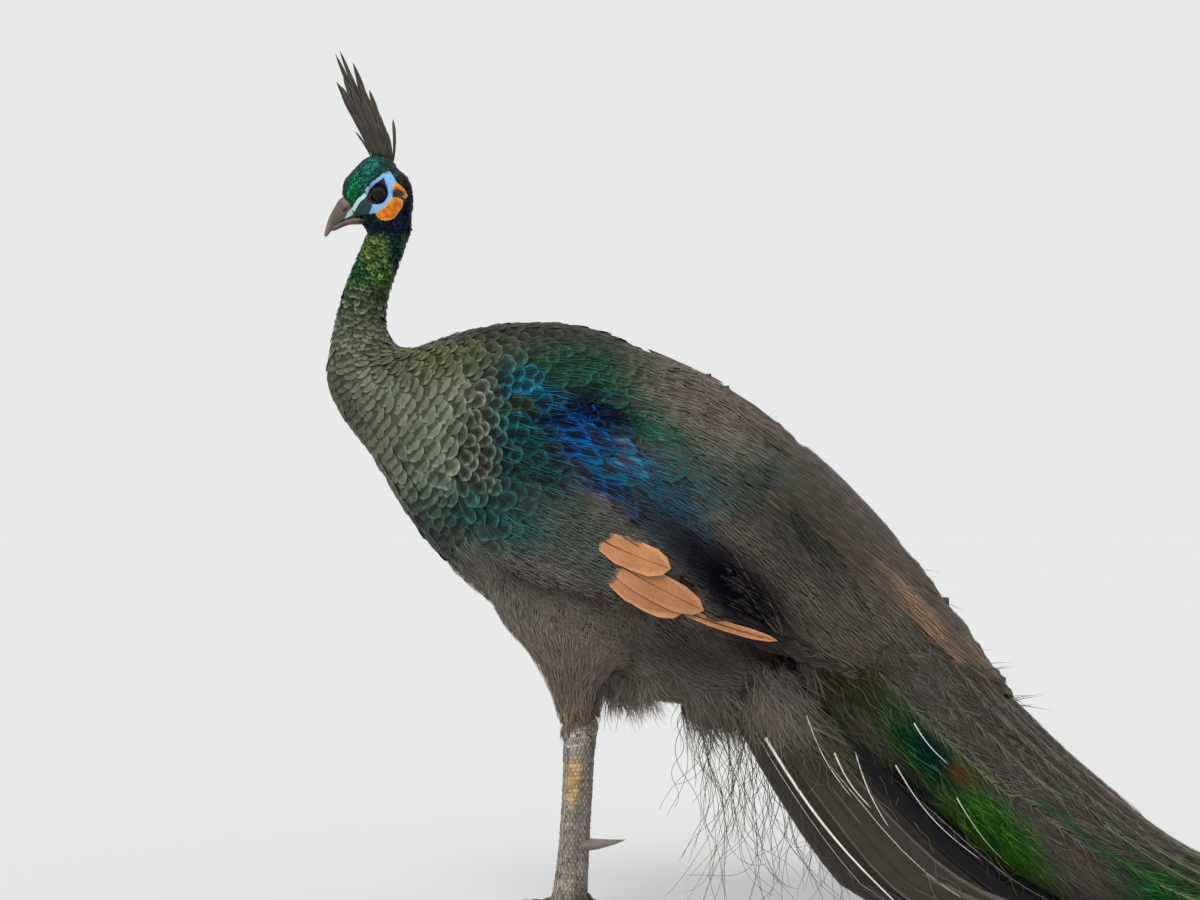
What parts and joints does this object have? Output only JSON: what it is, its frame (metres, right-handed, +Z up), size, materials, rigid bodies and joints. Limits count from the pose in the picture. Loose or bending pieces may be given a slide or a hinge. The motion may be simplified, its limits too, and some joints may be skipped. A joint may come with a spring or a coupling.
{
  "type": "green peafowl model",
  "caption": "Still, life-size model of a standing green peafowl cock with its wings folded and its long train laid on the ground.",
  "frame": {"origin": "bottom centre of the bird's box, on the ground, in the middle plane of the body", "axes": "+Z up; +X from the bill towards the end of the train, so the bird faces -X; +Y towards its right side"},
  "size_m": [1.5522, 0.3354, 0.7831],
  "materials": {
    "crown_feathers": "short glossy teal-green scale feathers",
    "neck_feathers": "satin scale feathers, green to olive, with paler rims",
    "wing_covert_feathers": "iridescent cobalt and teal-green scale feathers",
    "dark_feathers": "soft matt brown-black feathers",
    "buff_feathers": "buff-orange flight feathers with dark shafts",
    "train_feathers": "loose iridescent green and bronze barbs with white shafts",
    "horn": "smooth grey-brown horn of the bill, claws and spurs",
    "bare_skin": "scaly grey-brown skin of the shanks and toes",
    "eye": "wet, glossy, near black-brown"
  },
  "bodies": {
    "root": {"bill_lower": "horn", "bill_upper": "horn", "breast": "neck_feathers", "claw_hind_left": "horn", "claw_hind_right": "horn", "claw_inner_left": "horn", "claw_inner_right": "horn", "claw_middle_left": "horn", "claw_middle_right": "horn", "claw_outer_left": "horn", "claw_outer_right": "horn", "crest": "dark_feathers", "eye_left": "eye", "eye_right": "eye", "head": "crown_feathers", "neck_lower": "neck_feathers", "neck_upper": "neck_feathers", "rump": "dark_feathers", "shank_left": "bare_skin", "shank_right": "bare_skin", "spur_left": "horn", "spur_right": "horn", "tail": "dark_feathers", "thigh_left": "dark_feathers", "thigh_right": "dark_feathers", "toe_hind_left": "bare_skin", "toe_hind_right": "bare_skin", "toe_inner_left": "bare_skin", "toe_inner_right": "bare_skin", "toe_middle_left": "bare_skin", "toe_middle_right": "bare_skin", "toe_outer_left": "bare_skin", "toe_outer_right": "bare_skin", "train_base": "train_feathers", "train_end": "train_feathers", "train_fall": "train_feathers", "train_middle": "train_feathers", "trunk": "dark_feathers", "wing_coverts_left": "wing_covert_feathers", "wing_coverts_right": "wing_covert_feathers", "wing_primaries_left": "buff_feathers", "wing_primaries_right": "buff_feathers", "wing_secondaries_left": "dark_feathers", "wing_secondaries_right": "dark_feathers"}
  },
  "joints": []
}
